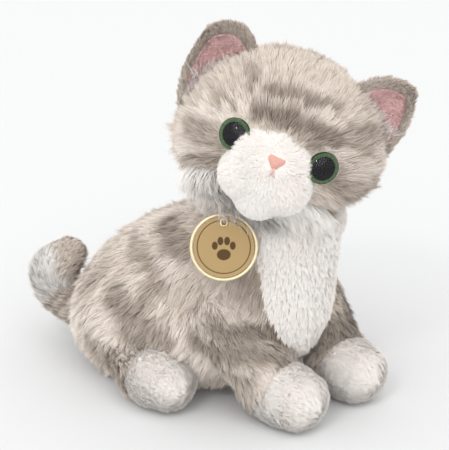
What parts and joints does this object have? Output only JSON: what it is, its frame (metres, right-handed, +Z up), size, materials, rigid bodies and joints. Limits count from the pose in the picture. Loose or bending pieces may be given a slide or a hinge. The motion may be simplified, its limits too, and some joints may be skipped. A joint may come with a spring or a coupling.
{
  "type": "plush cat",
  "caption": "Sitting plush kitten with a turned, tilted head, sewn limbs and tail, glossy eyes and a round hanging tag.",
  "frame": {"origin": "centre of the flat seat panel underneath the torso, on the floor the cat sits on", "axes": "+Z up, -Y towards the cat's chest and front paws, +X towards the cat's own left"},
  "size_m": [0.1434, 0.2037, 0.2103],
  "materials": {
    "grey_plush": "long-pile plush, tabby greys",
    "white_plush": "short-pile plush",
    "pink_plush": "short-pile plush",
    "stuffing": "loose polyester fill",
    "bean_cloth": "woven pouch of pellets",
    "eye_green": "polished",
    "eye_black": "polished",
    "eye_clear": "clear, polished",
    "washer": "moulded",
    "nose_thread": "satin stitch",
    "mouth_thread": "stitched thread",
    "tag_face": "bronze, lightly worn",
    "tag_rim": "pale gold, bevelled",
    "tag_metal": "polished",
    "tag_cord": "fine cord"
  },
  "bodies": {
    "torso": {"torso_skin": "grey_plush", "chest_panel": "white_plush", "base_panel": "grey_plush", "torso_stuffing": "stuffing", "bean_pouch": "bean_cloth", "tag_loop": "tag_cord"},
    "neck": {"neck_sleeve": "grey_plush"},
    "head": {"head_skin": "grey_plush", "chin_panel": "white_plush", "head_stuffing": "stuffing", "muzzle_skin": "white_plush", "muzzle_stuffing": "stuffing", "nose": "nose_thread", "mouth_stitch": "mouth_thread", "eye_right_iris": "eye_green", "eye_right_pupil": "eye_black", "eye_right_dome": "eye_clear", "eye_right_washer": "washer", "eye_left_iris": "eye_green", "eye_left_pupil": "eye_black", "eye_left_dome": "eye_clear", "eye_left_washer": "washer"},
    "foreleg_right": {"foreleg_right_skin": "grey_plush", "foreleg_right_paw": "white_plush", "foreleg_right_stuffing": "stuffing"},
    "hindleg_right": {"hindleg_right_skin": "grey_plush", "hindleg_right_paw": "white_plush", "hindleg_right_stuffing": "stuffing"},
    "ear_right": {"ear_right_back": "grey_plush", "ear_right_lining": "pink_plush"},
    "foreleg_left": {"foreleg_left_skin": "grey_plush", "foreleg_left_paw": "white_plush", "foreleg_left_stuffing": "stuffing"},
    "hindleg_left": {"hindleg_left_skin": "grey_plush", "hindleg_left_paw": "white_plush", "hindleg_left_stuffing": "stuffing"},
    "ear_left": {"ear_left_back": "grey_plush", "ear_left_lining": "pink_plush"},
    "tail_root": {"tail_root_skin": "grey_plush", "tail_root_stuffing": "stuffing"},
    "tail_end": {"tail_end_skin": "grey_plush", "tail_end_stuffing": "stuffing"},
    "tag": {"tag_disc": "tag_face", "tag_rim": "tag_rim", "tag_eyelet": "tag_metal"}
  },
  "joints": [
    {"name": "head_turn", "type": "hinge", "parent": "torso", "child": "neck", "pos_m": [-0.002, -0.071, 0.149], "axis": [0, 0, 1], "range_deg": [-15, 15], "stiffness_Nm_per_rad": 0.6},
    {"name": "head_nod", "type": "hinge", "parent": "neck", "child": "head", "pos_m": [-0.002, -0.071, 0.149], "axis": [0.5736, -0.8192, 0], "range_deg": [-8, 8], "stiffness_Nm_per_rad": 0.6},
    {"name": "ear_right_flex", "type": "hinge", "parent": "head", "child": "ear_right", "pos_m": [-0.02658, -0.03799, 0.18043], "axis": [-0.6504, 0.5051, -0.5673], "range_deg": [-10, 10], "stiffness_Nm_per_rad": 0.04},
    {"name": "ear_left_flex", "type": "hinge", "parent": "head", "child": "ear_left", "pos_m": [0.03007, -0.11034, 0.15202], "axis": [0.0306, -0.2788, -0.9599], "range_deg": [-10, 10], "stiffness_Nm_per_rad": 0.04},
    {"name": "foreleg_right_lift", "type": "hinge", "parent": "torso", "child": "foreleg_right", "pos_m": [-0.034, -0.056, 0.058], "axis": [-1, 0, 0], "range_deg": [0, 20], "stiffness_Nm_per_rad": 1.5},
    {"name": "foreleg_left_lift", "type": "hinge", "parent": "torso", "child": "foreleg_left", "pos_m": [0.032, -0.06, 0.058], "axis": [-1, 0, 0], "range_deg": [0, 20], "stiffness_Nm_per_rad": 1.5},
    {"name": "hindleg_right_lift", "type": "hinge", "parent": "torso", "child": "hindleg_right", "pos_m": [-0.045, -0.004, 0.022], "axis": [-1, 0, 0], "range_deg": [0, 10], "stiffness_Nm_per_rad": 0.8},
    {"name": "hindleg_left_lift", "type": "hinge", "parent": "torso", "child": "hindleg_left", "pos_m": [0.045, -0.004, 0.022], "axis": [-1, 0, 0], "range_deg": [0, 10], "stiffness_Nm_per_rad": 0.8},
    {"name": "tail_sway", "type": "hinge", "parent": "torso", "child": "tail_root", "pos_m": [-0.021, 0.036, 0.024], "axis": [0, 0, 1], "range_deg": [-10, 10], "stiffness_Nm_per_rad": 0.2},
    {"name": "tail_curl", "type": "hinge", "parent": "tail_root", "child": "tail_end", "pos_m": [-0.0335, 0.0605, 0.0335], "axis": [0.8529, 0.5222, 0], "range_deg": [-15, 15], "stiffness_Nm_per_rad": 0.12},
    {"name": "tag_swing", "type": "hinge", "parent": "torso", "child": "tag", "pos_m": [-0.04547, -0.06922, 0.11361], "axis": [-0.6455, 0.7638, 0], "range_deg": [0, 40]}
  ]
}
